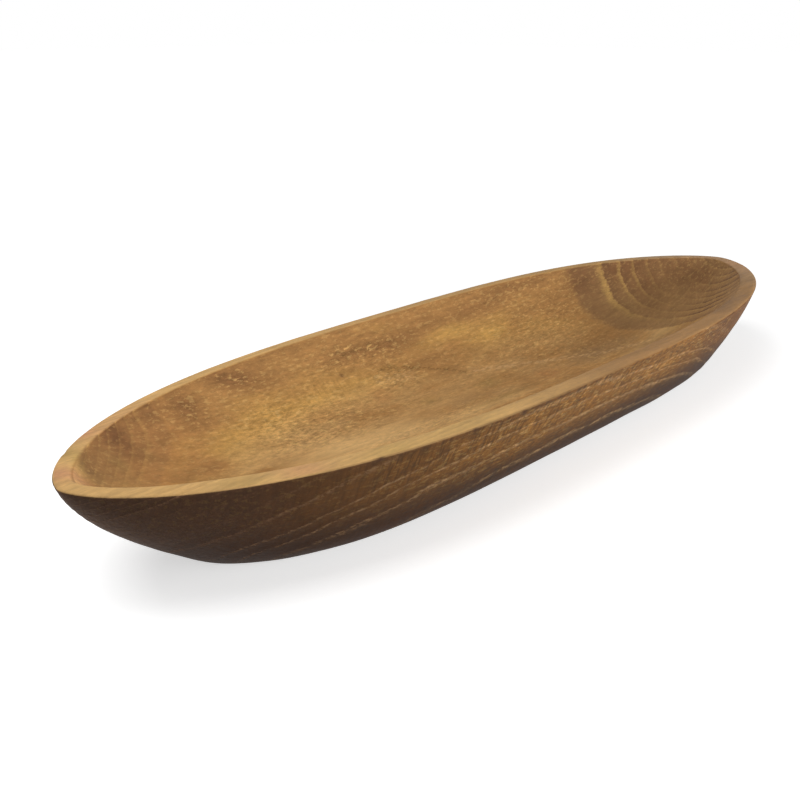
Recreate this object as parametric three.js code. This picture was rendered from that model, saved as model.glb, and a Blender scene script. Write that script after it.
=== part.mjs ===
// Carved wooden serving tray, cut from one solid board.
// Millimetres. +Z is up, +X runs along the tray, and the flat base rests on Z = 0.
//
// The outside is a loft of level outlines, like the waterlines of a canoe: a blunt flat base that
// grows into a longer, wider and more pointed rim. The hollow is a second loft, scooped down from
// an even flat rim. Both are one closed skin, which runs from the base up the outside, over the
// rim and down to the lowest point of the hollow.
import * as THREE from 'three';

// Board that the tray is cut from. Easing the rim's edges takes a little off its length and width.
const LENGTH = 500;
const WIDTH = 150;
const HEIGHT = 50;

// Outside of the tray
const BASE_LENGTH = 388;
const SIDE_LEAN = 28;            // degrees that the long sides lean out from upright
const BILGE_RADIUS = 20;         // arc between each long side and the base
const END_SWEEP = 1.5;           // 1 would be a straight ramp, 2 a parabola that ends upright
const RIM_FULLNESS = 3.05;       // power of the outline along the tray: an ellipse has 2
const BASE_FULLNESS = 4.6;       // the base is blunter than the rim
const TIP_ROUNDNESS = 1.6;       // power of the outline across the tray: below 2 the tips point

// Rim and hollow
const RIM_WIDTH = 8;             // across the top of the wall
const ARRIS = 0.8;               // both edges of the rim are eased by this much
const MOUTH_FULLNESS = 3.1;      // outline of the rim's inner edge, which keeps the rim even
const MOUTH_TIP_ROUNDNESS = 1.5; // a little more pointed than the outer edge, as it is shorter
const OFF_CENTRE = 1.8;          // the hollow is cut this far towards +Y, so the -Y rim is wider
const FLOOR = 12;                // wood left under the lowest point of the hollow
const SIDE_SCOOP = 2.8;          // power of the hollow's curve across the tray
const END_SCOOP = 5;             // power of its curve along the tray: flat floor, upswept ends
const MELT = 3;                  // how fast the pointed mouth turns to an ellipse on the way down

// Fineness of the loft
const AROUND = 96;               // points in each level outline
const BILGE_STEPS = 4;
const SIDE_STEPS = 7;
const HOLLOW_STEPS = 12;

// Arc between side and base: the angle that it turns through, and the height where the side starts
const BILGE_TURN = THREE.MathUtils.degToRad(90 - SIDE_LEAN);
const BILGE_TOP = BILGE_RADIUS * (1 - Math.cos(BILGE_TURN));

// Point of a level outline at an angle round it. The outline is the curve
// |x / halfLength| ^ fullness + |y / halfWidth| ^ tipRoundness = 1, so 2 and 2 give an ellipse.
function outlinePoint(angle, halfLength, halfWidth, fullness, tipRoundness) {
  const lengthwise = Math.abs(Math.cos(angle));
  const sideways = Math.pow(1 - Math.pow(lengthwise, fullness), 1 / tipRoundness);
  return new THREE.Vector2(
    halfLength * Math.cos(angle),
    halfWidth * Math.sign(Math.sin(angle)) * sideways,
  );
}

// Whole outline, as a ring of points.
function outline(halfLength, halfWidth, fullness, tipRoundness) {
  const ring = [];
  for (let i = 0; i < AROUND; i += 1) {
    const angle = 2 * Math.PI * i / AROUND;
    ring.push(outlinePoint(angle, halfLength, halfWidth, fullness, tipRoundness));
  }
  return ring;
}

// Half width of the outside at a height: a straight leaning side, which an arc joins to the base.
function sideProfile(z) {
  const flare = Math.tan(THREE.MathUtils.degToRad(SIDE_LEAN));
  const sideFoot = WIDTH / 2 - HEIGHT * flare;
  if (z >= BILGE_TOP) {
    return sideFoot + z * flare;
  }
  const arcStart = sideFoot - BILGE_RADIUS * Math.tan(BILGE_TURN / 2);
  return arcStart + Math.sqrt(BILGE_RADIUS ** 2 - (BILGE_RADIUS - z) ** 2);
}

// Half length of the outside at a height: the ends leave the base at a low angle, sweep out and
// stand upright at the rim.
function endProfile(z) {
  const overhang = (LENGTH - BASE_LENGTH) / 2;
  return BASE_LENGTH / 2 + overhang * (1 - Math.pow(1 - z / HEIGHT, END_SWEEP));
}

// Level outline of the outside at a height.
function outsideOutline(z) {
  const fullness = THREE.MathUtils.lerp(BASE_FULLNESS, RIM_FULLNESS, z / HEIGHT);
  return outline(endProfile(z), sideProfile(z), fullness, TIP_ROUNDNESS);
}

// Ring moved inwards by a distance, square to itself at every point.
function insetRing(ring, distance) {
  return ring.map((point, i) => {
    const before = ring[(i + AROUND - 1) % AROUND];
    const after = ring[(i + 1) % AROUND];
    const run = after.clone().sub(before).normalize();
    return new THREE.Vector2(point.x - run.y * distance, point.y + run.x * distance);
  });
}

// Heights of the outside's outlines: closer together round the bilge.
function outsideHeights() {
  const heights = [];
  for (let i = 0; i < BILGE_STEPS; i += 1) {
    heights.push(BILGE_RADIUS * (1 - Math.cos(BILGE_TURN * i / BILGE_STEPS)));
  }
  for (let i = 0; i <= SIDE_STEPS; i += 1) {
    heights.push(THREE.MathUtils.lerp(BILGE_TOP, HEIGHT - ARRIS, i / SIDE_STEPS));
  }
  return heights;
}

// Level outline of the hollow, where narrowing is 1 at its mouth and falls to 0 at its lowest
// point. The pointed mouth melts into an ellipse on the way down, as a gouge leaves it. Cut by eye,
// the hollow sits a little off the middle.
function hollowOutline(narrowing, shortening) {
  const halfLength = shortening * (LENGTH / 2 - RIM_WIDTH);
  const halfWidth = narrowing * (WIDTH / 2 - RIM_WIDTH);
  const pointed = outline(halfLength, halfWidth, MOUTH_FULLNESS, MOUTH_TIP_ROUNDNESS);
  const rounded = outline(halfLength, halfWidth, 2, 2);
  const melt = Math.pow(narrowing, MELT);
  return rounded.map((point, i) => {
    const onEdge = point.lerp(pointed[i], melt);
    return new THREE.Vector2(onEdge.x, onEdge.y + OFF_CENTRE);
  });
}

// Rings of the skin in order: up the outside, over the rim, and down the hollow.
function skinRings() {
  const rings = [];
  const addRing = (ring, z) => rings.push(ring.map((p) => new THREE.Vector3(p.x, p.y, z)));

  outsideHeights().forEach((z) => addRing(outsideOutline(z), z));
  addRing(insetRing(outsideOutline(HEIGHT), ARRIS), HEIGHT);
  addRing(insetRing(hollowOutline(1, 1), -ARRIS), HEIGHT);

  const depth = HEIGHT - ARRIS - FLOOR;
  for (let i = HOLLOW_STEPS; i > 0; i -= 1) {
    const narrowing = i / HOLLOW_STEPS;
    const rise = Math.pow(narrowing, SIDE_SCOOP);
    const shortening = Math.pow(rise, 1 / END_SCOOP);
    addRing(hollowOutline(narrowing, shortening), FLOOR + depth * rise);
  }
  return rings;
}

// Closed skin of the tray. The base is filled straight across from side to side, and the hollow
// closes on its lowest point.
function trayGeometry() {
  const rings = skinRings();
  const corners = rings.flat();
  const lowest = corners.length;
  corners.push(new THREE.Vector3(0, OFF_CENTRE, FLOOR));

  const faces = [];
  const at = (ring, i) => ring * AROUND + (i + AROUND) % AROUND;
  for (let i = 0; i < AROUND; i += 1) {
    for (let ring = 0; ring < rings.length - 1; ring += 1) {
      faces.push(at(ring, i), at(ring, i + 1), at(ring + 1, i + 1));
      faces.push(at(ring, i), at(ring + 1, i + 1), at(ring + 1, i));
    }
    faces.push(at(rings.length - 1, i), at(rings.length - 1, i + 1), lowest);
  }
  for (let i = 0; i < AROUND / 2; i += 1) {
    if (i > 0) {
      faces.push(at(0, i), at(0, -i), at(0, -i - 1));
    }
    if (i < AROUND / 2 - 1) {
      faces.push(at(0, i), at(0, -i - 1), at(0, i + 1));
    }
  }

  const geometry = new THREE.BufferGeometry();
  const positions = corners.flatMap((p) => [p.x, p.y, p.z]);
  geometry.setAttribute('position', new THREE.Float32BufferAttribute(positions, 3));
  geometry.setIndex(faces);
  geometry.computeVertexNormals();
  return geometry;
}

// Open-grained hardwood, brushed and oiled to a warm mid brown
const oiledWood = new THREE.MeshStandardMaterial({
  color: '#8f6437',
  roughness: 0.68,
  metalness: 0,
});

const carvedTray = new THREE.Mesh(trayGeometry(), oiledWood);
carvedTray.name = 'carved_tray';

const tray = new THREE.Group();
tray.add(carvedTray);

export default tray;
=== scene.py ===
# %% [markdown]
# # A carved wooden serving tray
# The real tray is one board of fast-grown, ring-porous hardwood, such as paulownia. It is hollowed
# with gouges, shaped like a canoe, wire-brushed, stained brown and oiled. Almost all of its
# character is the wood itself: the growth rings of the tree run through the board, and every
# surface that the carver cut shows another slice of them. So the lesson is in two halves: one
# smooth closed skin with a little hand-worked relief, and one block of solid wood to colour it.

import bpy
import numpy as np
from mathutils import Euler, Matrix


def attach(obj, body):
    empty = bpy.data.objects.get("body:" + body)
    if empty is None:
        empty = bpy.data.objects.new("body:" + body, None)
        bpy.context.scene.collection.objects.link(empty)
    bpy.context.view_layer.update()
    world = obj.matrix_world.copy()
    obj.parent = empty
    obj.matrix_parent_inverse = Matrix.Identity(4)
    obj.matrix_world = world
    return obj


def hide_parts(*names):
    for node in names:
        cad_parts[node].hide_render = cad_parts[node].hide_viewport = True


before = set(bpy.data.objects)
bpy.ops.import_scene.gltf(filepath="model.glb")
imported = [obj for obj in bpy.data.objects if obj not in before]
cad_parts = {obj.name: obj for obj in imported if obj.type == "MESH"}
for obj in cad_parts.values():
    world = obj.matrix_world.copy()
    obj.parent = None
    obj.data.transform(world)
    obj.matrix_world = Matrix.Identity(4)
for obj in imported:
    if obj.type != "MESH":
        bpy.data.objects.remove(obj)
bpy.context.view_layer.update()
MM = 0.001

# %% [markdown]
# ## Camera
# The camera stands where the photograph was taken from: a little above the tray, looking along it
# from the near left corner. It could be placed by eye. Instead, the tray's own outline was laid
# over the photograph and the camera moved until the two agreed, which also settles the lens.

# %% Camera
SENSOR, LENS = 36.0, 47.192                     # mm, which make the view about 42 degrees wide
CAMERA_PLACE = (-0.41544, -0.30642, 0.20284)    # metres
CAMERA_TURN = (69.9095, 0.0, -48.071)           # degrees

camera_data = bpy.data.cameras.new("camera")
camera_data.sensor_width = SENSOR
camera_data.lens = LENS
camera_data.clip_start = 0.01
camera = bpy.data.objects.new("camera", camera_data)
camera.location = CAMERA_PLACE
camera.rotation_euler = Euler(np.radians(CAMERA_TURN))
bpy.context.scene.collection.objects.link(camera)
bpy.context.scene.camera = camera
bpy.context.scene.view_settings.view_transform = "Standard"
print("camera", camera_data.lens, "mm lens at", CAMERA_PLACE)

# %% [markdown]
# ## Light
# The light is that of a plain photo studio. Spot or sun lamps would draw hard edges on the hollow,
# so both lamps are soft boxes. The overhead one hangs over the left half, which is why the tray
# grows darker towards its right tip. The second one stands low in front, a little to the right,
# and picks out the near side. Neither is strong: wood that faces them comes out about as its
# colour is written.

# %% Lamps
def soft_box(name, place, aim, size, watts):
    """An area lamp of a width and height in metres, at a place, turned to face a point."""
    data = bpy.data.lights.new(name, "AREA")
    data.shape, data.energy = "RECTANGLE", watts
    data.size, data.size_y = size
    lamp = bpy.data.objects.new(name, data)
    lamp.location = place
    away = np.subtract(place, aim)
    tilt = np.arctan2(np.hypot(away[0], away[1]), away[2])
    lamp.rotation_euler = Euler((tilt, 0, np.arctan2(away[0], -away[1])))
    bpy.context.scene.collection.objects.link(lamp)
    print(name, "is", np.linalg.norm(away).round(2), "m away, tilted", np.degrees(tilt).round())


soft_box("overhead_box", (-0.30, 0.10, 0.62), (-0.10, 0.0, 0.0), (0.55, 0.55), 3.1)
soft_box("low_front_box", (0.20, -0.62, 0.16), (0.0, 0.0, 0.02), (0.6, 0.24), 3.2)

# %% [markdown]
# ## Colours and nodes
# Colours are written here as the codes that a screen or a paint chart uses. Those are spaced for
# the eye, while Blender reckons in shares of light. Its colour picker turns one into the other by
# itself; a script has to do it, and one function keeps every colour right. Nodes could be laid out
# by hand in the editor. Written as one call each, they can be read from top to bottom.


# %% Colours are written as sRGB hex and turned linear in one place
def linear(code):
    """Linear RGBA of an sRGB hex colour: c / 12.92 below 0.04045, else ((c + 0.055) / 1.055) ^ 2.4."""
    values = np.array([int(code[i:i + 2], 16) for i in (1, 3, 5)]) / 255
    curved = np.where(values <= 0.04045, values / 12.92, ((values + 0.055) / 1.055) ** 2.4)
    return (*curved.tolist(), 1.0)


WHITE = linear("#ffffff")
print("half grey #808080 sends back", round(linear("#808080")[0], 2), "of the light")


# %% One function adds a node with its settings and links
def add(tree, kind, inputs=None, **settings):
    """Adds a shader node to a tree. Inputs go by name or number: a value is set, and a socket or
    the first live output of a node is linked. Settings are the node's own properties."""
    made = tree.nodes.new("ShaderNode" + kind)
    for name, value in settings.items():
        setattr(made, name, value)
    for name, value in (inputs or {}).items():
        if isinstance(value, bpy.types.Node):
            value = next(socket for socket in value.outputs if socket.enabled)
        if isinstance(value, bpy.types.NodeSocket):
            tree.links.new(value, made.inputs[name])
        else:
            made.inputs[name].default_value = value
    return made


def empty_tree(owner):
    """The node tree of a new material or world, with nothing in it."""
    owner.use_nodes = True
    owner.node_tree.nodes.clear()
    return owner.node_tree


# %% [markdown]
# ## World
# Round the tray is the white of a studio. If the world lit the tray as strongly as it looks, the
# lamps would cast hardly any shadow. The white could be laid behind the tray after rendering. Here
# the rays that the picture sees find the world white, and those that carry light find it dim, so
# one render is enough.


# %% Which rays the picture sees
def seen_ray(tree):
    """1 for a ray that shows its target in the picture: straight from the camera, or by way of
    gloss or glass. It is 0 for the rays that carry light from surface to surface."""
    path = add(tree, "LightPath")
    glass = add(tree, "Math", {0: path.outputs["Is Glossy Ray"],
                               1: path.outputs["Is Transmission Ray"]}, operation="MAXIMUM")
    return add(tree, "Math", {0: path.outputs["Is Camera Ray"], 1: glass}, operation="MAXIMUM")


# %% World
FILL = 0.14                      # light from all round, of which 1 would be the whole
world = bpy.data.worlds.new("white_studio")
bpy.context.scene.world = world
tree = empty_tree(world)
level = add(tree, "MapRange", {"Value": seen_ray(tree), "To Min": FILL, "To Max": 1.0})
sky = add(tree, "Background", {"Color": WHITE, "Strength": level})
add(tree, "OutputWorld", {"Surface": sky})
print("the world looks white and lights the tray with", FILL, "of that")

# %% [markdown]
# ## Floor
# A sheet of white paper. A floor that is white in every way would throw much light back up at the
# tray, so its own colour is grey, and only the rays that the picture sees find it pale. It keeps
# the tray's shadow. Away from the tray, where the lamps fade, it glows a little for the camera, so
# that it runs into the white behind without an edge.

# %% Floor
FLOOR_HALF = 6.0                 # metres from the middle to each side of the sheet
CLOSE, FAR = 0.30, 0.90          # metres from the middle between which the glow grows
GLOW_CLOSE, GLOW_FAR = 0.6, 1.0
PAPER_LIT, PAPER_SEEN = linear("#4c4c4c"), linear("#f0f0f0")
corners = [(x * FLOOR_HALF, y * FLOOR_HALF, 0) for x, y in ((-1, -1), (1, -1), (1, 1), (-1, 1))]
floor_mesh = bpy.data.meshes.new("paper_floor")
floor_mesh.from_pydata(corners, [], [(0, 1, 2, 3)])
floor = bpy.data.objects.new("paper_floor", floor_mesh)
bpy.context.scene.collection.objects.link(floor)

paper = bpy.data.materials.new("matt_white_paper")
tree = empty_tree(paper)
seen = seen_ray(tree)
tone = add(tree, "Mix", {"Factor": seen, "A": PAPER_LIT, "B": PAPER_SEEN}, data_type="RGBA")
matt = add(tree, "BsdfDiffuse", {"Color": tone})
place = add(tree, "TexCoord").outputs["Object"]
reach = add(tree, "VectorMath", {0: place}, operation="LENGTH").outputs["Value"]
lift = add(tree, "MapRange", {"Value": reach, "From Min": CLOSE, "From Max": FAR,
                              "To Min": GLOW_CLOSE, "To Max": GLOW_FAR})
lift = add(tree, "Math", {0: lift, 1: seen}, operation="MULTIPLY")
glow = add(tree, "Emission", {"Color": WHITE, "Strength": lift})
both = add(tree, "AddShader", {0: matt, 1: glow})
add(tree, "OutputMaterial", {"Surface": both})
floor_mesh.materials.append(paper)
print("floor", 2 * FLOOR_HALF, "m wide, full white", FAR, "m from the tray")

# %% [markdown]
# ## The shape of the tray
# A dugout canoe is the nearest thing in shape. Slice the tray level at any height and the outside
# is a long rounded outline, blunt at the base and more pointed at the rim. The hollow is the same
# idea turned inwards: its mouth follows the rim, and it melts to a plain ellipse on the way down,
# as a gouge leaves it. It could be pulled out of a box with a Subdivision modifier. But both are
# power curves, so a handful of sizes gives the whole skin, and the same sizes give the solid.

# %% Sizes, in millimetres
LENGTH, WIDTH, HEIGHT = 500.0, 150.0, 50.0
BASE_LENGTH = 388.0
SIDE_LEAN = np.radians(28)       # the long sides lean out from upright
BILGE_RADIUS = 20.0              # arc between each side and the base
END_SWEEP = 1.5                  # 1 would be a straight ramp, 2 a parabola
RIM_FULLNESS, BASE_FULLNESS = 3.05, 4.6
TIP_ROUNDNESS = 1.6
RIM_WIDTH, ARRIS = 8.0, 0.8
MOUTH_FULLNESS, MOUTH_TIP_ROUNDNESS = 3.1, 1.5
OFF_CENTRE = 1.8                 # the hollow is cut this far towards +Y, so the near rim is wider
FLOOR_UNDER = 12.0               # wood left under the lowest point of the hollow
SIDE_SCOOP, END_SCOOP, MELT = 2.8, 5.0, 3.0
print("hollow", HEIGHT - FLOOR_UNDER, "mm deep in a tray", HEIGHT, "mm high")


# %% Level outlines
AROUND = 512                     # points in each level ring
FINE_STEPS = 20001               # points that the rim's running length is measured on
RUN_SHARE = 0.75                 # 1 spaces the points evenly along the rim, 0 by angle


def outline(angle, half_length, half_width, fullness, roundness):
    """Points where |x / half length| ^ fullness + |y / half width| ^ roundness = 1."""
    along = np.abs(np.cos(angle))
    across = (1 - along ** fullness).clip(0) ** (1 / roundness)
    return np.stack([half_length * np.cos(angle),
                     half_width * np.sign(np.sin(angle)) * across], axis=-1)


def even_angles():
    """Angles that spread the points nearly evenly along the rim: the inverse of a mix of its
    running length with the angle itself, each as a share of the whole."""
    fine = np.linspace(0, 2 * np.pi, FINE_STEPS)
    rim = outline(fine, LENGTH / 2, WIDTH / 2, RIM_FULLNESS, TIP_ROUNDNESS)
    run = np.concatenate([[0], np.cumsum(np.linalg.norm(np.diff(rim, axis=0), axis=1))])
    mixed = RUN_SHARE * run / run[-1] + (1 - RUN_SHARE) * fine / fine[-1]
    return np.interp(np.arange(AROUND) / AROUND, mixed, fine)


ANGLES = even_angles()
print(AROUND, "points in each ring, the widest step", np.degrees(np.diff(ANGLES).max()).round(2),
      "degrees")

# %% The outside
BILGE_TURN = np.pi / 2 - SIDE_LEAN
BILGE_TOP = BILGE_RADIUS * (1 - np.cos(BILGE_TURN))


def side_profile(z):
    """Half width at a height: a straight leaning side that an arc joins to the base."""
    flare = np.tan(SIDE_LEAN)
    foot = WIDTH / 2 - HEIGHT * flare
    arc_start = foot - BILGE_RADIUS * np.tan(BILGE_TURN / 2)
    arc = arc_start + np.sqrt(np.maximum(BILGE_RADIUS ** 2 - (BILGE_RADIUS - z) ** 2, 0))
    return np.where(z >= BILGE_TOP, foot + z * flare, arc)


def end_profile(z):
    """Half length at a height: half the base plus the overhang times 1 - (1 - z / height) ^ sweep."""
    overhang = (LENGTH - BASE_LENGTH) / 2
    return BASE_LENGTH / 2 + overhang * (1 - (1 - z / HEIGHT) ** END_SWEEP)


def outside_ring(z):
    """Level ring of the outside at a height, as AROUND points in x, y, z."""
    fullness = BASE_FULLNESS + (RIM_FULLNESS - BASE_FULLNESS) * z / HEIGHT
    flat = outline(ANGLES, end_profile(z), side_profile(z), fullness, TIP_ROUNDNESS)
    return np.column_stack([flat, np.full(AROUND, z)])


print("bilge arc ends", round(BILGE_TOP, 2), "mm up; the base is", round(2 * float(side_profile(0)), 1),
      "mm wide")


# %% The hollow
def hollow_ring(narrowing):
    """Level ring of the hollow, from 1 at its mouth to 0 at its lowest point. It rises as
    narrowing ^ side scoop and shortens as rise ^ (1 / end scoop); the pointed mouth turns to an
    ellipse as narrowing ^ melt falls."""
    rise = narrowing ** SIDE_SCOOP
    half_length = rise ** (1 / END_SCOOP) * (LENGTH / 2 - RIM_WIDTH)
    half_width = narrowing * (WIDTH / 2 - RIM_WIDTH)
    pointed = outline(ANGLES, half_length, half_width, MOUTH_FULLNESS, MOUTH_TIP_ROUNDNESS)
    rounded = outline(ANGLES, half_length, half_width, 2, 2)
    melt = narrowing ** MELT
    z = FLOOR_UNDER + (HEIGHT - ARRIS - FLOOR_UNDER) * rise
    flat = rounded + (pointed - rounded) * melt + [0, OFF_CENTRE]
    return np.column_stack([flat, np.full(AROUND, z)])


print("half way in from its mouth, the hollow is", (HEIGHT - hollow_ring(0.5)[0, 2]).round(1),
      "mm below the rim")


# %% A ring moved inwards
def inset(ring, distance):
    """The ring moved inwards by a distance, square to itself: the neighbours' chord turned a
    quarter turn gives the way in."""
    chord = np.roll(ring, -1, axis=0)[:, :2] - np.roll(ring, 1, axis=0)[:, :2]
    chord /= np.linalg.norm(chord, axis=1, keepdims=True)
    moved = ring.copy()
    moved[:, 0] -= chord[:, 1] * distance
    moved[:, 1] += chord[:, 0] * distance
    return moved


print("easing takes the tips in to", inset(outside_ring(HEIGHT), ARRIS)[0, 0].round(2), "mm")

# %% [markdown]
# ## Stitching the rings into one skin
# The rings are laid in order: out from the middle of the base, up the outside, round the eased
# outer edge, over the rim, round the inner edge and down the hollow. Each edge is a quarter circle
# of rings, as sanding leaves it. Cutting a hollow out of a hull with a Boolean would leave ragged
# faces at the rim, and one run of rings has none. The number kept with each ring says how far the
# surface has got from the outside over the rim to the hollow, and the finish reads it later.

# %% Rings in order
BASE_RINGS, BILGE_RINGS, SIDE_RINGS = 5, 8, 36
EDGE_RINGS, RIM_RINGS = 4, 5
END_RINGS, MIDDLE_RINGS = 96, 24 # rings of the hollow: close together where its ends sweep up
END_STOPS = 0.4                  # narrowing at which the close rings stop
OUTSIDE, RIM, HOLLOW = 0, 1, 2   # finish numbers, which blend over the edges
EDGE_STARTS = 0.3                # numbers from here on belong to the outer edge of the rim


def skin_rings():
    """All rings, and the finish number of each."""
    rings, finish = [], []

    def put(ring, number):
        rings.append(ring)
        finish.append(number)

    foot = outside_ring(0.0)
    for share in np.arange(1, BASE_RINGS) / BASE_RINGS:
        put(foot * [share, share, 1], OUTSIDE)
    for turn in BILGE_TURN * np.arange(BILGE_RINGS) / BILGE_RINGS:
        put(outside_ring(BILGE_RADIUS * (1 - np.cos(turn))), OUTSIDE)
    for z in np.linspace(BILGE_TOP, HEIGHT - ARRIS, SIDE_RINGS):
        put(outside_ring(z), OUTSIDE)

    widest = outside_ring(HEIGHT - ARRIS)
    mouth = hollow_ring(1.0)
    edge = np.linspace(0, np.pi / 2, EDGE_RINGS + 1)[1:]
    for turn in edge:
        ring = inset(widest, ARRIS * (1 - np.cos(turn)))
        put(ring + [0, 0, ARRIS * np.sin(turn)], EDGE_STARTS + (RIM - EDGE_STARTS) * turn / edge[-1])
    outer, inner = rings[-1], inset(mouth, -ARRIS) + [0, 0, ARRIS]
    for share in np.arange(1, RIM_RINGS) / RIM_RINGS:
        put(outer + (inner - outer) * share, RIM)
    for turn in edge[::-1]:
        ring = inset(mouth, -ARRIS * (1 - np.cos(turn)))
        put(ring + [0, 0, ARRIS * np.sin(turn)], HOLLOW - turn / edge[-1])
    for narrowing in (*np.linspace(1, END_STOPS, END_RINGS, endpoint=False),
                      *np.linspace(END_STOPS, 0, MIDDLE_RINGS, endpoint=False)):
        put(hollow_ring(narrowing), HOLLOW)
    return np.array(rings), np.array(finish, dtype=float)


RINGS, FINISH = skin_rings()
print("rings", RINGS.shape, "from z", RINGS[0, 0, 2], "to", round(RINGS[-1, 0, 2], 2))


# %% Faces between rings, and a fan at each pole
def skin_faces(count):
    """Quads between neighbouring rings, plus a fan of triangles round each pole. The two poles
    are the last two vertices: the middle of the base, then the lowest point of the hollow."""
    ring, step = np.meshgrid(np.arange(count - 1), np.arange(AROUND), indexing="ij")
    after = (step + 1) % AROUND
    here, above = ring * AROUND, (ring + 1) * AROUND
    quads = np.stack([here + step, here + after, above + after, above + step], axis=-1)
    i = np.arange(AROUND)
    j = (i + 1) % AROUND
    base_pole, low_pole = count * AROUND, count * AROUND + 1
    last = (count - 1) * AROUND
    base_fan = np.stack([np.full(AROUND, base_pole), j, i], axis=-1)
    low_fan = np.stack([last + i, last + j, np.full(AROUND, low_pole)], axis=-1)
    return quads.reshape(-1, 4), np.concatenate([base_fan, low_fan])


QUADS, FANS = skin_faces(len(RINGS))
POLES = [[0, 0, 0], [0, OFF_CENTRE, FLOOR_UNDER]]
PLACES = np.vstack([RINGS.reshape(-1, 3), POLES])
X, Y, Z = PLACES.T               # views, so they follow PLACES while it is changed in place
WORKED = np.concatenate([np.repeat(FINISH, AROUND), [OUTSIDE, HOLLOW]])
ON_OUTSIDE = WORKED < EDGE_STARTS
IN_HOLLOW = WORKED >= HOLLOW
RIM_OR_HOLLOW = WORKED > 0.9
print(len(PLACES), "vertices,", 2 * len(QUADS) + len(FANS), "triangles")


# %% Which way each vertex faces
def facings(places):
    """Unit normals: each quad's diagonals crossed, summed onto its corners and made unit long."""
    total = np.zeros_like(places)
    a, b, c, d = (places[QUADS[:, k]] for k in range(4))
    square = np.cross(c - a, d - b)
    for k in range(4):
        np.add.at(total, QUADS[:, k], square)
    return total / np.linalg.norm(total, axis=1, keepdims=True).clip(1e-9)


NORMALS = facings(PLACES)
NORMALS[-2:] = [[0, 0, -1], [0, 0, 1]]
print("rim faces up:", bool(NORMALS[WORKED == RIM][:, 2].min() > 0.5))

# %% [markdown]
# ## Growth rings
# A tree adds one ring a year round its pith. In this tree the pith ran about 20 mm above the rim
# and nearly along the tray, so the ends, which climb towards it, cut across many rings and show
# nested U shapes, while the middle of the hollow only grazes them. A Wave Texture could draw
# rings, but all alike. Here the distance from the pith says how old the wood at each vertex is,
# so a ring runs on over the rim by itself. Real rings are never quite round, so a short list of
# gentle terms pushes them in and out by a few millimetres.

# %% Age of the wood at a point
PITH = np.array([8.86, 70.2])            # y and z of the pith line above the middle of the tray
PITH_DRIFT = np.array([-13.65, -0.39])   # how far it moves over REACH[0] along the tray
MIDDLE = np.array([0.0, 0.0, 25.0])      # the wander is measured from here
REACH = np.array([200.0, 60.0, 25.0])    # in these lengths
WANDER = {                               # powers of x, y and z, and mm
    (0, 0, 2): -8.09, (0, 1, 1): 2.47, (0, 1, 2): -1.42, (0, 2, 0): -14.11, (0, 2, 1): 5.33,
    (0, 3, 0): 3.94, (0, 3, 1): -1.55, (1, 0, 1): 2.56, (1, 0, 2): 0.12, (1, 1, 0): -13.15,
    (1, 1, 1): 0.47, (1, 2, 0): -2.86, (1, 2, 1): -2.32, (1, 3, 0): 0.4, (2, 0, 0): -0.46,
    (2, 0, 1): 9.26, (2, 1, 0): 3.03, (2, 1, 1): 4.05, (2, 2, 0): -1.48, (3, 0, 0): -3.06,
    (3, 0, 1): 1.48, (3, 1, 0): -0.96, (4, 0, 0): -4.1,
}


def pith_distance(places):
    """Distance from the pith line in mm, plus the sum of each wander term times the powers of
    x, y and z that it names."""
    x, y, z = ((places - MIDDLE) / REACH).T
    off_pith = np.hypot(places[:, 1] - PITH[0] - PITH_DRIFT[0] * x,
                        places[:, 2] - PITH[1] - PITH_DRIFT[1] * x)
    return off_pith + sum(size * x ** i * y ** j * z ** k for (i, j, k), size in WANDER.items())


AGE = pith_distance(PLACES)
print("pith distance from", AGE.min().round(1), "to", AGE.max().round(1), "mm")


# %% Small unevenness, the same on every run
def ripple(along, across, seed, waves=24):
    """Smooth noise from -1 to 1 or so: the mean of seeded sine waves, whose lengths lie round
    `along` mm in x and `across` mm in y and z, times the root of half their number."""
    random = np.random.default_rng(seed)
    size = 2 * np.pi / np.array([along, across, across])
    aim = random.normal(size=(waves, 3))
    aim /= np.linalg.norm(aim, axis=1, keepdims=True)
    stretch = random.uniform(0.6, 1.5, size=(waves, 1))
    phase = random.uniform(0, 2 * np.pi, size=waves)
    return np.sin(PLACES @ (aim * size * stretch).T + phase).sum(axis=1) * np.sqrt(0.5 / waves)


def smooth_step(value, low, high):
    """0 below low, 1 above high, and 3 t^2 - 2 t^3 between."""
    t = ((value - low) / (high - low)).clip(0, 1)
    return t * t * (3 - 2 * t)


def hump(value, middle, spread):
    """exp(-((value - middle) / spread)^2): 1 at the middle, and near 0 two spreads away."""
    return np.exp(-((value - middle) / spread) ** 2)


uneven = 0.22 * ripple(60, 16, 11) + 0.10 * ripple(24, 7, 12)
print("rings waver by up to", np.abs(uneven).max().round(2), "mm")

# %% Years, counted from the pith
# Each ring's inner edge in mm, and how strongly its pale early wood shows as a crest line.
RINGS_OF_TREE = np.array([
    (4, .4), (9, .5), (13, .5), (17, .5), (20.6, .7), (24.4, .5), (28, .7), (31.8, .5),
    (34.4, .6), (36.8, .8), (39.1, .9), (41.4, 1), (45.0, .1), (48.1, .2), (51.9, .2), (55.4, .7),
    (59.6, 1), (61.4, .9), (63.5, 1), (66.6, .7), (70, .6), (73.5, .8), (77, .6), (80.5, .8),
    (84, .7), (87.5, .8), (91, .6), (94.5, .8), (98, .7), (102, .7), (106, .7), (110, .7)])
EDGE_MM, CREST = RINGS_OF_TREE.T
CREST_AT = 0.25                  # part of a year after which its own crest strength holds
YEARS = np.arange(len(EDGE_MM))
YEAR = np.interp(AGE + uneven, EDGE_MM, YEARS)
SHOW = np.interp(YEAR - CREST_AT, YEARS, CREST)

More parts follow.
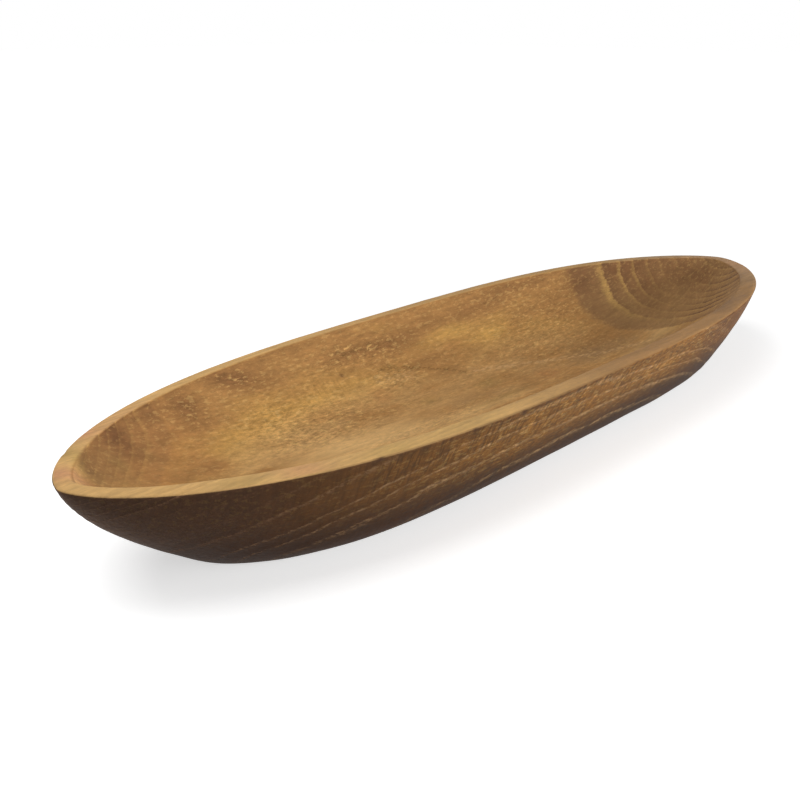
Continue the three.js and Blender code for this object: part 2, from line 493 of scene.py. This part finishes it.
# In the hollow the rings show faintly on the left, and on the right most along both walls.
LEFT_SHOW = 0.22
right_show = (0.4 - 0.25 * smooth_step(X, 165, 185) + 0.75 * hump(X, 170, 38) * hump(Y, 38, 16)
              + 1.1 * hump(Y, -26, 16))
SHOW = np.where(IN_HOLLOW, SHOW * np.where(X < 0, LEFT_SHOW, right_show), SHOW)
print("years shown", YEAR.min().round(1), "to", YEAR.max().round(1))

# %% [markdown]
# ## Patches
# Wood takes stain unevenly, and a wire brush bites harder in one place than in the next. On the
# real tray such patches came by chance. Noise alone could scatter some, but in other places than
# on this tray, so each one is a row of a table: where its middle is, how far it reaches and how
# strong it is. The mesh keeps the sums, and the material gives them ragged edges later.
# Not all of them are stain. In the hollow a darker band along the top of the far wall, under the rim,
# is painted shade, and the pale patches on the left of the floor are partly painted light.

# %% Stain, painted light and painted shade in the hollow
def soft_patches(table):
    """Sum over rows (x, y, half length, half width, amount) of amount times a hump in x times a
    hump in y: rounded patches, seen from above, that fade out at their edges."""
    return sum(amount * hump(X, x, a) * hump(Y, y, b) for x, y, a, b, amount in table)


# Above 0 the hollow is paler and gold, below 0 browner. Most rows are uneven stain, but the rows near
# y = 60 paint shade along the top of the far wall under the rim, and the large pale rows on the
# left of the floor are partly painted light.
STAIN_LIGHT_AND_SHADE = IN_HOLLOW * soft_patches([
    (-100, 17, 45, 12, 1.2), (-60, 8, 30, 8, 0.9), (-115, 42, 26, 9, 0.8), (-75, 46, 40, 8, 0.3),
    (-150, 28, 14, 9, 0.8), (-10, 3, 34, 6, 0.9), (30, 57, 26, 4, 0.7), (60, 49, 22, 5, 0.7),
    (80, 8, 45, 10, 0.5), (170, 22, 12, 12, 1.0), (150, -10, 34, 7, 0.7), (170, -5, 20, 11, 0.8),
    (-40, 45, 16, 4, 0.3), (-158, 50, 9, 7, -0.9), (-177, 50, 10, 5, -0.9), (-185, 44, 9, 6, -0.4),
    (-203, 37, 8, 8, -1.1), (-124, 60, 18, 4, -1.0), (-163, 25, 10, 4, -0.6),
    (-143, 17.5, 5, 2, -0.6), (-59, 53.4, 0.8, 0.7, -2.0), (38.5, 21.5, 1.0, 0.8, -1.5),
    (-15, 59.5, 30, 3, -0.9), (-50, 61.5, 25, 3, -0.4), (80, 63, 90, 4, -0.7),
    (10, 42, 18, 6, -0.4), (40, 20, 30, 7, -0.25), (205, 32, 22, 14, -0.75),
    (228, 14, 12, 18, -0.75), (190, 47, 14, 8, -0.8), (155, 52, 14, 7, -0.8),
    (-227, 18, 5, 6, -0.7), (-216, 26, 14, 12, -0.35), (-190, 26, 12, 4, -0.2)])
print("stain from", STAIN_LIGHT_AND_SHADE.min().round(2), "to", STAIN_LIGHT_AND_SHADE.max().round(2))

# %% Old wood and blushes
# Where the wood is old and grey, besides the years nearest to the pith.
GREY = RIM_OR_HOLLOW * soft_patches([
    (112, 10, 34, 10, 0.7), (150, -14, 34, 14, 0.6), (198, -24, 30, 18, 0.6),
    (-10, 14, 60, 8, 0.25), (-213, 22, 10, 7, 0.4), (125, -56, 50, 8, 0.7)])
# Where it is peach (above 0) or olive (below 0).
BLUSH = RIM_OR_HOLLOW * soft_patches([
    (-244, 13, 7, 7, 0.9), (-233, 29, 6, 5, -0.8), (-217, 40, 7, 5, 0.9), (-148, -62, 12, 8, -0.4),
    (-205, -44, 10, 10, -0.4), (-236, 8, 6, 5, 0.6), (-182, -50, 9, 10, 0.6),
    (-112, -64, 26, 10, -0.3), (236, -14, 20, 30, 0.45), (-228, 17, 5, 8, -0.8),
    (-210, 25, 5, 4, -0.7), (-199, 21, 9, 6, 0.5), (-193, 30, 5, 3, -0.4), (-190, 38, 26, 16, 0.5),
    (-45, 40, 6, 5, 0.4), (-22, 26, 6, 3, -0.5), (24, 22, 9, 4, -0.6), (15, 5, 22, 3, -0.4),
    (62, 9, 8, 6, 0.7), (172, 38, 8, 6, -0.4)])
print("blush from", BLUSH.min().round(2), "to", BLUSH.max().round(2))

# %% Marks of the brush and the saw
# FUZZ is how strongly the brush has raised the fibres.
FUZZ_HOLLOW, FUZZ_RIM, FUZZ_OUTSIDE, FUZZ_ROUGH = 0.45, 0.3, 0.25, 1.15
rough_part = smooth_step(X, -180, -60) * (1 - smooth_step(X, 80, 165))
FUZZ = np.where(IN_HOLLOW, FUZZ_HOLLOW + soft_patches([
    (-118, 40, 20, 9, 0.5), (-85, 33, 30, 14, 0.5), (-27, 46, 16, 5, 0.6), (-40, 7, 40, 5, 0.4),
    (100, 42, 50, 22, 0.3), (-157, 50, 8, 7, 0.2), (-124, 59, 14, 5, 0.3), (-40, 60, 30, 4, 0.5),
    (-113, 28, 14, 6, 0.4), (-215, 25, 25, 25, -0.2), (-185, 25, 20, 14, -0.1),
    (-110, 15, 35, 6, -0.3), (-30, 17, 50, 7, -0.2), (155, 35, 12, 25, -0.3),
    (190, 10, 40, 50, -0.28)]), FUZZ_RIM).clip(0.05, 1)
FUZZ = np.where(ON_OUTSIDE, FUZZ_OUTSIDE + FUZZ_ROUGH * rough_part, FUZZ)

# STRUCK is how strongly saw and brush marked the wood across its fibres.
top_band = smooth_step(Z, 26, 42) * smooth_step(X, -185, -130) * (1 - smooth_step(X, 20, 100))
STRUCK = (ON_OUTSIDE * (0.4 + 0.6 * top_band)
          + IN_HOLLOW * soft_patches([(-72, 50, 26, 6, 0.35)]))
print("fuzz up to", FUZZ.max().round(2), "and strokes up to", STRUCK.max().round(2))


# %% Fine lines in the floor, where one year's growth stopped short
def near_line(points, width):
    """A hump of the distance, seen from above, to a line through points."""
    best = np.full(len(PLACES), np.inf)
    for start, end in zip(points[:-1], points[1:]):
        run = np.subtract(end, start)
        off = PLACES[:, :2] - start
        share = (off @ run / (run @ run)).clip(0, 1)
        best = np.minimum(best, np.linalg.norm(off - share[:, None] * run, axis=1))
    return hump(best, 0, width)


DARK_LINE = IN_HOLLOW * (
    near_line([(-40, 48.3), (-36, 50.4), (-29, 51.4), (-20, 49.6), (-12, 47.9), (0, 45), (7, 42),
               (14, 39.5), (20, 35.5)], 1.1)
    + 0.8 * near_line([(-40, 46), (-30, 48.6), (-22, 48.3)], 0.6)
    + 0.4 * near_line([(-62, 58), (-40, 62), (-20, 60.5), (-5, 58), (10, 55.5)], 1.8)
    + 0.3 * near_line([(5, 9.5), (18, 6.5), (35, 5), (50, 2.5)], 1.3))
PALE_LINE = IN_HOLLOW * (
    near_line([(26, 35), (40, 31), (60, 26), (75, 21), (90, 16), (105, 9.5), (116, 5), (131, 0),
               (148, -7)], 1.9)
    + 0.8 * near_line([(-38, 47), (-26, 45.5), (-15, 44.5)], 2.2))
print(int((DARK_LINE > 0.5).sum()), "vertices on dark lines,", int((PALE_LINE > 0.5).sum()), "on pale")

# %% [markdown]
# ## Hand-worked relief
# No two strokes of a gouge or a brush go equally deep. The brush digs the soft early wood out of
# each ring, most where the surface cuts across the fibres. The sides have slight swells, the
# outer edge has chipped here and there, and the left tip has a nick. Sculpting or a Displace
# modifier could do this. Here each mark is a depth in mm at every vertex, and their sum moves the
# skin inwards along its normals, so that no part of the tray comes out of its solid.

# %% Sanding: the inner edge of the rim is rounder at the left tip
# Each pass pulls the rings there towards the mean of their two neighbours.
ROUNDS, PULL = 14, 0.5           # passes, and the part of the way that each pulls
ABOVE, BELOW = 4, 8              # rings that are sanded above and below the inner edge
grid = PLACES[:-2].reshape(RINGS.shape).copy()
inner_edge = int(np.argmax(FINISH >= HOLLOW))
rows = slice(inner_edge - ABOVE, inner_edge + BELOW)
weight = PULL * smooth_step(-grid[..., 0], 205, 240)
for _ in range(ROUNDS):
    mean = 0.5 * (np.roll(grid, 1, axis=0) + np.roll(grid, -1, axis=0))
    grid[rows] += ((mean - grid) * weight[..., None])[rows]
moved = np.linalg.norm(grid.reshape(-1, 3) - PLACES[:-2], axis=1).max()
PLACES[:-2] = grid.reshape(-1, 3)
print("sanding moves the skin by up to", moved.round(2), "mm")

# %% Grooves of the brush, and swells
SIDE_GROOVE, SIDE_END_GROOVE = 0.12, 0.05        # depths in mm along the fibres, and more across
HOLLOW_GROOVE, HOLLOW_END_GROOVE = 0.04, 0.30
SIDE_SWELL, HOLLOW_SWELL = 0.10, 0.15
SOFTEST = 0.6                                    # part of the year that the brush digs out deepest
FADE = 3.0                                       # mm over which relief fades to the rim and base

end_cut = np.abs(NORMALS[:, 0]).clip(0, 1)       # 1 where the surface is square to the fibres
groove = (0.5 + 0.5 * np.cos(2 * np.pi * (YEAR % 1.0 - SOFTEST))) * SHOW
below_rim = smooth_step(HEIGHT - ARRIS - Z, 0.0, FADE)
on_side = ON_OUTSIDE * below_rim * smooth_step(Z, 0.0, FADE)
in_hollow = IN_HOLLOW * below_rim
depth = in_hollow * (HOLLOW_GROOVE + HOLLOW_END_GROOVE * end_cut) * groove
depth += on_side * (SIDE_GROOVE + SIDE_END_GROOVE * end_cut) * groove
depth += in_hollow * HOLLOW_SWELL * (1 + ripple(45, 18, 21)).clip(0, 2)
depth += on_side * SIDE_SWELL * (1 + ripple(40, 16, 22)).clip(0, 2)
print("grooves and swells up to", depth.max().round(2), "mm deep")

# %% Worn outer edge, its chips and the nick
WEAR, CHIP, NICK = 0.12, 0.7, 0.5                # depths in mm
NICK_PLACE, NICK_SPREAD = [-231, 29.5, 50], 1.4 * 2 ** 0.5

outer_edge = (WORKED > OUTSIDE) & (WORKED < RIM)
frayed = smooth_step(X, -200, -150) * (1 - smooth_step(X, -60, 60))
chips = (ripple(7, 7, 23) - 0.5).clip(0, 1.2)
# The colour mark here darkens the frayed outer edge and a thin band just under it: partly real chip
# scars, partly a painted shade line beneath the edge.
EDGE_CHIPS_AND_SHADE = frayed * (0.4 + 1.3 * chips).clip(0, 1)
EDGE_CHIPS_AND_SHADE *= np.where(outer_edge, 1, ON_OUTSIDE * smooth_step(Z, 46, 49))
depth += outer_edge * (WEAR * (1 + ripple(30, 30, 24)).clip(0, 2) + CHIP * frayed * chips)
depth += NICK * hump(np.linalg.norm(PLACES - NICK_PLACE, axis=1), 0, NICK_SPREAD) * (WORKED < HOLLOW)
PLACES = PLACES - NORMALS * depth[:, None]
PLACES[:, 2] = PLACES[:, 2].clip(0)
X, Y, Z = PLACES.T
print("relief up to", depth.max().round(2), "mm deep")

# %% The mesh
tray_mesh = bpy.data.meshes.new("carved_tray_skin")
tray_mesh.from_pydata((PLACES * MM).tolist(), [], QUADS.tolist() + FANS.tolist())
tray_mesh.polygons.foreach_set("use_smooth", np.ones(len(tray_mesh.polygons), dtype=bool))

# The sanded inner edge at the left tip is as pale as the rim.
SANDED_PALE = 0.8
sanded = smooth_step(-X, 222, 240) * smooth_step(Z, 41, 48) * IN_HOLLOW
KEPT = {"year": YEAR, "crest": SHOW, "worked": WORKED - SANDED_PALE * sanded, "end_cut": end_cut,
        "tone": STAIN_LIGHT_AND_SHADE, "grey": GREY, "blush": BLUSH, "fuzz": FUZZ, "struck": STRUCK,
        "dark_line": DARK_LINE, "pale_line": PALE_LINE, "edge_chips_and_shade": EDGE_CHIPS_AND_SHADE}
for name, values in KEPT.items():
    layer = tray_mesh.attributes.new(name, "FLOAT", "POINT")
    layer.data.foreach_set("value", values.astype(np.float32))
tray_mesh.update()
tray = bpy.data.objects.new("carved_tray_skin", tray_mesh)
bpy.context.scene.collection.objects.link(tray)
print("tray mesh", len(tray_mesh.polygons), "faces, with", len(KEPT), "attributes")

# %% [markdown]
# ## Brushed, stained and oiled paulownia
# The maker planes the board, wipes on a thin brown stain and rubs it with a wire brush. The brush
# tears out the soft early wood, which leaves pale fuzzy lines in the dark ones, and a last coat of
# oil gives it all a low dull shine. A picture of wood could be wrapped round the tray, but its
# grain would break at the rim. Noise that reads the tray's own coordinates runs on through every
# surface, as wood does. The mesh already knows where each ring and patch is. What the nodes add is
# how broken it looks, so every noise here is stretched along the fibres, in real mm.

# %% Coordinates in mm, and the grains
wood = bpy.data.materials.new("paulownia_brushed_stained_oiled")
tree = empty_tree(wood)
object_place = add(tree, "TexCoord").outputs["Object"]
in_mm = add(tree, "Mapping", {"Vector": object_place, "Scale": (1 / MM, 1 / MM, 1 / MM)})
axes = add(tree, "SeparateXYZ", {0: in_mm}).outputs
kept = {name: add(tree, "Attribute", attribute_name=name).outputs["Fac"] for name in KEPT}

# Real fibres are 0.03 mm thick and real pores 0.2 mm wide, which would not show. So fibre, dash,
# pit, tooth and bead are drawn as coarse as they need to be in the render.
GRAINS = {                       # length and thickness in mm, detail, roughness
    "patch": (120, 26, 2, 0.5),  # drifts of stain
    "cloud": (30, 9, 3, 0.6),    # ragged edges of drifts
    "streak": (26, 2.2, 3, 0.6), # bundles of fibres
    "fibre": (4.2, 1.4, 4, 0.75),
    "dash": (4.2, 1.6, 3, 0.65), # raised fuzz that catches the light
    "pit": (3.4, 1.4, 3, 0.6),   # open pores
    "tooth": (5, 1.2, 2, 0.5),   # ragged edges of rings
    "wave": (24, 5, 2, 0.5),     # slow swings from light to dark
    "bead": (3.2, 1.5, 3, 0.7),  # breaks in the pale lines
    "stroke": (1.6, 9, 3, 0.6),  # saw and brush marks straight up the side
}
grain = {}
for name, (length, thickness, detail, roughness) in GRAINS.items():
    squeeze = (1 / length, 1 / thickness, 1 / thickness)
    squeezed = add(tree, "Mapping", {"Vector": in_mm, "Scale": squeeze})
    grain[name] = add(tree, "TexNoise", {"Vector": squeezed, "Scale": 1.0, "Detail": detail,
                                         "Roughness": roughness}).outputs["Fac"]
print(len(grain), "grains")

# %% Season: where in its year the wood at a point grew
# The tooth and the wave move each ring's edge, mostly by less than a tenth of a year.
TOOTH_SHIFT, WAVE_SHIFT = 0.24, 0.10
MEAN_SHIFT = (TOOTH_SHIFT + WAVE_SHIFT) / 2
nudge = add(tree, "Math", {0: grain["tooth"], 1: TOOTH_SHIFT, 2: -MEAN_SHIFT},
            operation="MULTIPLY_ADD")
nudge = add(tree, "Math", {0: grain["wave"], 1: WAVE_SHIFT, 2: nudge}, operation="MULTIPLY_ADD")
year_here = add(tree, "Math", {0: kept["year"], 1: nudge}, operation="ADD")
season = add(tree, "Math", {0: year_here}, operation="FRACT")
print("ring edges shift by", round(MEAN_SHIFT, 2), "of a year at the very most")

# %% [markdown]
# ### Stain and age
# Stain that was wiped on lies in drifts: where it lies thin the hollow is gold, and where it
# pooled it is brown. The oldest wood, near the pith, is greyer, and on the right it starts at one
# year's edge. Noise alone would put both anywhere, and the patches of the mesh alone would look
# sprayed on, so the one is added to the other.

# %% Drifts of stain, and old wood
PATCH_PART, CLOUD_PART = 0.6, 0.4
DRIFT = 0.35                     # how far the drifts move the tone either way
FRAY = 1.2                       # how much the cloud grain frays the edges of old wood
drift = add(tree, "Math", {0: grain["patch"], 1: PATCH_PART}, operation="MULTIPLY")
drift = add(tree, "Math", {0: grain["cloud"], 1: CLOUD_PART, 2: drift}, operation="MULTIPLY_ADD")
drift = add(tree, "MapRange", {"Value": drift, "From Min": 0.38, "From Max": 0.62,
                               "To Min": -DRIFT, "To Max": DRIFT})
# The mesh's patches bring their painted shade under the far rim and painted light on the left floor.
tone = add(tree, "Math", {0: drift, 1: kept["tone"]}, operation="ADD")
frayed_grey = add(tree, "Math", {0: grain["cloud"], 1: FRAY, 2: -FRAY / 2},
                  operation="MULTIPLY_ADD")
frayed_grey = add(tree, "Math", {0: kept["grey"], 1: frayed_grey}, operation="ADD")
print("drifts of stain move the tone by up to", DRIFT)

# %% [markdown]
# ### Ranges
# A Map Range node turns a stretch of one number into a stretch of another, and nearly every share
# of colour on the tray starts as one. They could stand wherever a colour needs them. So that they
# can be read and tuned side by side, each is one row of a table: what it reads, where that starts
# and ends, what it becomes there, and its curve. A row that starts above its end runs backwards.

# %% Parts of the year, stain and surfaces
STEADY, SOFT = "LINEAR", "SMOOTHSTEP"
OLD_FROM, OLD_FULL = 12.12, 11.9 # years between which the grey heart sets in, going inwards
RANGES = {
    # a year from 0 to 1: dark late wood, then the pale early wood's start and its broad or thin end
    "late": (season, 0.4, 0.95, 0.0, 1.0, SOFT),
    "rise": (season, 0.0, 0.07, 0.0, 1.0, STEADY),
    "broad": (season, 0.08, 0.34, 1.0, 0.0, SOFT),
    "thin": (season, 0.03, 0.26, 1.0, 0.0, SOFT),
    "by_cut": (kept["end_cut"], 0.03, 0.3, 0.12, 1.0, STEADY),  # rings show most on end grain
    # how the stain took, and how old the wood is
    "gold": (tone, 0.0, 1.2, 0.0, 1.0, STEADY),
    "brown": (tone, 0.0, -1.3, 0.0, 0.9, STEADY),
    "peach": (kept["blush"], 0.0, 1.0, 0.0, 1.0, STEADY),
    "olive": (kept["blush"], 0.0, -1.0, 0.0, 1.0, STEADY),
    "heart": (year_here, OLD_FROM, OLD_FULL, 0.0, 1.0, STEADY),
    "worn": (frayed_grey, 0.1, 0.7, 0.0, 0.75, STEADY),
    # which of the three surfaces a point belongs to
    "onto_rim": (kept["worked"], 0.3, 0.6, 0.0, 1.0, STEADY),
    "into_hollow": (kept["worked"], 1.2, 1.9, 0.0, 1.0, STEADY),
}
print(len(RANGES), "ranges for the wood and its surfaces")

# %% Places on the tray, in mm
RANGES.update({
    # in the hollow
    "to_right": (axes["X"], -60, 60, 0.25, 0.85, STEADY),
    "to_near_wall": (axes["Y"], 8, -16, 0.52, 0.95, STEADY),
    "to_far_wall": (axes["Y"], -25, 8, 0.25, 1.0, STEADY),
    "up_wall": (axes["Z"], 17, 27, 0.0, 1.0, STEADY),
    # on the outside
    # the outside's dark left end is partly stain and partly painted shade, lifted from x = -210 to -65
    "out_of_left_stain_and_shade": (axes["X"], -210, -65, 0.0, 1.0, STEADY),
    "far_right": (axes["X"], 50, 125, 0.0, 1.0, SOFT),
    "left_tip": (axes["X"], -180, -235, 0.0, 1.0, STEADY),
    # the foot row darkens the outside towards its base as painted shade, where the side turns under
    "foot": (axes["Z"], 36, 10, 0.0, 0.97, SOFT),
    "right_of_foot": (axes["X"], -40, 60, 0.0, 0.6, STEADY),
    "lines_end": (axes["X"], 30, 150, 1.0, 0.25, STEADY),
    "off_foot": (axes["Z"], 5, 18, 0.3, 1.0, STEADY),
    # on the rim
    "rim_right": (axes["X"], -120, 20, 0.0, 1.0, SOFT),
    "rim_near": (axes["Y"], 50, 10, 0.35, 1.0, STEADY),
    "rim_tip": (axes["X"], 180, 225, 0.0, 0.9, STEADY),
})
print(len(RANGES), "with those of places")

# %% Uses of the grains, and a node for every row
RANGES.update({
    "crest_breaks": (grain["bead"], 0.3, 0.65, 0.5, 1.0, STEADY),
    "floor_breaks": (grain["dash"], 0.44, 0.56, 0.08, 0.72, STEADY),
    "line_breaks": (grain["bead"], 0.42, 0.58, 0.1, 1.0, STEADY),
    "line_fades": (grain["cloud"], 0.36, 0.56, 0.6, 1.0, STEADY),
    "raised": (grain["dash"], 0.54, 0.62, 0.0, 1.0, STEADY),
    "streaked": (grain["streak"], 0.3, 0.7, 0.89, 1.11, STEADY),
    "mottled": (grain["wave"], 0.3, 0.7, 0.92, 1.08, STEADY),
    "pitted": (grain["pit"], 0.54, 0.62, 0.0, 1.0, STEADY),
    "stroked": (grain["stroke"], 0.4, 0.65, 1.14, 0.52, STEADY),
    "dull": (grain["fibre"], 0.2, 0.8, 0.6, 0.78, STEADY),
})
got = {}
for name, (source, start, end, first, last, curve) in RANGES.items():
    got[name] = add(tree, "MapRange", {"Value": source, "From Min": start, "From Max": end,
                                       "To Min": first, "To Max": last}, interpolation_type=curve)
print(len(got), "with those of the grains")

# %% [markdown]
# ### Shares
# Most tints need several ranges at once: on the real tray a pale line shows only where the year,
# the cut and the brush all let it. So its share is their product. Shares could be painted as masks
# instead, but a product follows the wood when a ring or a size is changed.

# %% Products
PRODUCTS = {
    "crest": (got["rise"], got["broad"], kept["crest"], got["by_cut"], got["crest_breaks"],
              got["to_far_wall"]),
    "line": (got["rise"], got["thin"], kept["crest"], got["line_breaks"], got["line_fades"],
             got["lines_end"], got["off_foot"]),
    "shade": (got["late"], kept["crest"], got["by_cut"], got["to_near_wall"]),
    "faint_shade": (got["late"], kept["crest"], 0.3),
    "heart": (got["heart"], got["to_right"]),
    "dark_line": (kept["dark_line"], got["floor_breaks"]),
    "pale_line": (kept["pale_line"], got["floor_breaks"]),
    "fuzz_glint_in": (got["raised"], kept["fuzz"], 0.68),
    "fuzz_glint_out": (got["raised"], kept["fuzz"], 0.4),
    "right_foot_shade": (got["right_of_foot"], got["foot"]),
    "rim_right": (got["rim_right"], got["rim_near"]),
}
share = {}
for name, (product, *others) in PRODUCTS.items():
    for other in others:
        product = add(tree, "Math", {0: product, 1: other}, operation="MULTIPLY")
    share[name] = product
share["heart"] = add(tree, "Math", {0: share["heart"], 1: got["worn"]}, operation="MAXIMUM")
print(len(share), "shares")

# %% [markdown]
# ### Colours
# Each surface has a base colour, and each tint is laid over the ones before by its share. The
# outside kept more stain than the hollow. Its dark left end is partly stain and partly painted
# shade, and its darkening towards the foot is painted shade where the side turns under. On it the
# early wood shows as thin broken lines. The rim was sanded last, so it is the palest of all. One
# Color Ramp for each surface would be shorter, but it mixes along one number, and stain, age and
# season are three.

# %% Hollow
# The pale fuzz colour is partly paler torn fibres and partly a painted highlight, where raised fibres
# catch the light.
FUZZ_AND_GLINT_COLOUR = "#dcb26e"
gold = add(tree, "Mix", {"Factor": got["up_wall"], "A": linear("#dcb276"), "B": linear("#d9aa5c")},
           data_type="RGBA")
hollow = add(tree, "Mix", {"Factor": got["gold"], "A": linear("#b0824c"), "B": gold},
             data_type="RGBA")
for part, code in ((got["peach"], "#b47c48"), (got["olive"], "#9a7b46"),
                   (share["heart"], "#947048"), (got["brown"], "#775031"),
                   (share["shade"], "#5f402b"), (share["crest"], "#c8a05c"),
                   (share["dark_line"], "#60401f"), (share["pale_line"], "#d2a874"),
                   (share["fuzz_glint_in"], FUZZ_AND_GLINT_COLOUR)):
    hollow = add(tree, "Mix", {"Factor": part, "A": hollow, "B": linear(code)}, data_type="RGBA")
print("the hollow is coloured by", len(tree.nodes), "nodes so far")

# %% Outside
# The base is the dark left end, partly stain and partly painted shade; going right the outside
# lightens.
outside = linear("#4e311c")
# Towards the foot the outside darkens with painted shade, deepest on the right.
for part, code in ((got["out_of_left_stain_and_shade"], "#9f6d35"), (got["far_right"], "#6f461c"),
                   (got["left_tip"], "#624531"), (share["fuzz_glint_out"], FUZZ_AND_GLINT_COLOUR),
                   (got["foot"], "#38200d"), (share["right_foot_shade"], "#2c190b"),
                   (share["faint_shade"], "#4a2c17")):
    outside = add(tree, "Mix", {"Factor": part, "A": outside, "B": linear(code)}, data_type="RGBA")
# The pale lines are darker at the left end too, partly as painted shade.
line_colour = add(tree, "Mix", {"Factor": got["out_of_left_stain_and_shade"], "A": linear("#a67c5e"),
                                "B": linear("#e2b884")}, data_type="RGBA")
outside = add(tree, "Mix", {"Factor": share["line"], "A": outside, "B": line_colour},
              data_type="RGBA")
print("with the outside,", len(tree.nodes), "nodes")

# %% Rim, and the three laid together
rim = linear("#cfa569")
for part, code in ((share["rim_right"], "#a27a4d"), (got["rim_tip"], "#b4946e"),
                   (got["worn"], "#7c5f42"), (got["peach"], "#ca9468"), (got["olive"], "#aa8d50"),
                   (share["faint_shade"], "#8a673d")):
    rim = add(tree, "Mix", {"Factor": part, "A": rim, "B": linear(code)}, data_type="RGBA")
colour = outside
for part, over in ((got["onto_rim"], rim), (got["into_hollow"], hollow),
                   # the last layer darkens edge chips and paints a shade line under the outer edge
                   (kept["edge_chips_and_shade"], linear("#53351f"))):
    colour = add(tree, "Mix", {"Factor": part, "A": colour, "B": over}, data_type="RGBA")
print("with the rim,", len(tree.nodes), "nodes")

# %% [markdown]
# ### Fibres and pores
# Close to, the brushed wood is all short strokes along the grain: pale fuzz, fine fibres and dark
# open pores. They are strongest where the brush bit, which the mesh keeps as `fuzz`. Near its top
# edge the outside also has faint marks straight up and down. They could be painted as colours too,
# but as factors round 1 they darken and lighten any colour that lies under them.

# %% Fibres
FIBRE_CONTRAST, PORE_DARKNESS = 2.1, 0.2
fibres = add(tree, "Math", {0: grain["fibre"], 1: -0.5}, operation="ADD")
fibres = add(tree, "Math", {0: fibres, 1: kept["fuzz"]}, operation="MULTIPLY")
fibres = add(tree, "Math", {0: fibres, 1: FIBRE_CONTRAST, 2: 1.0}, operation="MULTIPLY_ADD")
pores = add(tree, "Math", {0: got["pitted"], 1: kept["fuzz"]}, operation="MULTIPLY")
pores = add(tree, "Math", {0: pores, 1: -PORE_DARKNESS, 2: 1.0}, operation="MULTIPLY_ADD")
strokes = add(tree, "Mix", {"Factor": kept["struck"], "A": 1.0, "B": got["stroked"]},
              data_type="FLOAT")
level = fibres
for part in (got["streaked"], got["mottled"], pores, strokes):
    level = add(tree, "Math", {0: level, 1: part}, operation="MULTIPLY")
toned = add(tree, "VectorMath", {0: colour, "Scale": level}, operation="SCALE")
print("with the fibres,", len(tree.nodes), "nodes")

# %% Bump and gloss
# Oiled wood has an IOR of about 1.5 and is dull. The brushed fibres scatter most of its shine,
# so the specular level is low.
RELIEF = 0.3 * MM                # height of the finest relief, which only shades the surface
PORE_RELIEF, STROKE_RELIEF = 0.8, 0.6
height = add(tree, "Math", {0: grain["fibre"], 1: grain["streak"]}, operation="ADD")
height = add(tree, "Math", {0: pores, 1: PORE_RELIEF, 2: height}, operation="MULTIPLY_ADD")
height = add(tree, "Math", {0: strokes, 1: STROKE_RELIEF, 2: height}, operation="MULTIPLY_ADD")
bump = add(tree, "Bump", {"Height": height, "Strength": 0.5, "Distance": RELIEF})
skin = add(tree, "BsdfPrincipled", {"Base Color": toned, "Roughness": got["dull"], "Normal": bump,
                                    "IOR": 1.5, "Specular IOR Level": 0.2})
add(tree, "OutputMaterial", {"Surface": skin})
tray_mesh.materials.append(wood)
print(wood.name, "has", len(tree.nodes), "nodes")

# %% [markdown]
# ## The skin and its solid
# The library's solid tray is what gets weighed, stood on a table and dropped, and this skin is
# what gets looked at. The skin could be joined to it by hand in every scene. Saying once which
# solid it stands for, and which body it rides on, keeps the two together wherever they are used.

# %% The skin stands for the solid
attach(tray, "root")
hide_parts("carved_tray")
print(tray.name, "rides on the body root and stands for carved_tray")
